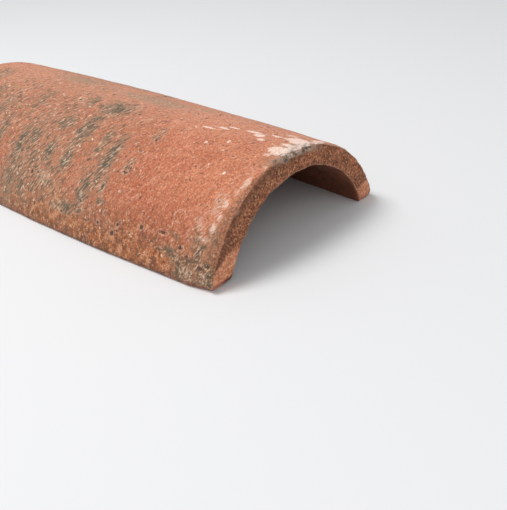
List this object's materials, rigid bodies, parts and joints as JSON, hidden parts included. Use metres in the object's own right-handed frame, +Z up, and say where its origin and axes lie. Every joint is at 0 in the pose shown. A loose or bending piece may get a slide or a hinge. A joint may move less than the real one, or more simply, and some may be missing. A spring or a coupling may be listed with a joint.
{
  "type": "clay barrel roof tile",
  "caption": "Half-round tapered roof tile of fired clay, laid hollow side down as a cover or hollow side up as a channel.",
  "frame": {"origin": "on the floor that the two feet lie on, in the middle of the tile's length and width", "axes": "+Y along the tile from the narrow end to the wide end, +X across it, +Z up from the floor to the crown"},
  "size_m": [0.2286, 0.46, 0.0887],
  "materials": {
    "fired_clay": "unglazed terracotta, weathered, with lichen, lime and dirt"
  },
  "bodies": {
    "root": {"barrel_tile": "fired_clay"}
  },
  "joints": []
}
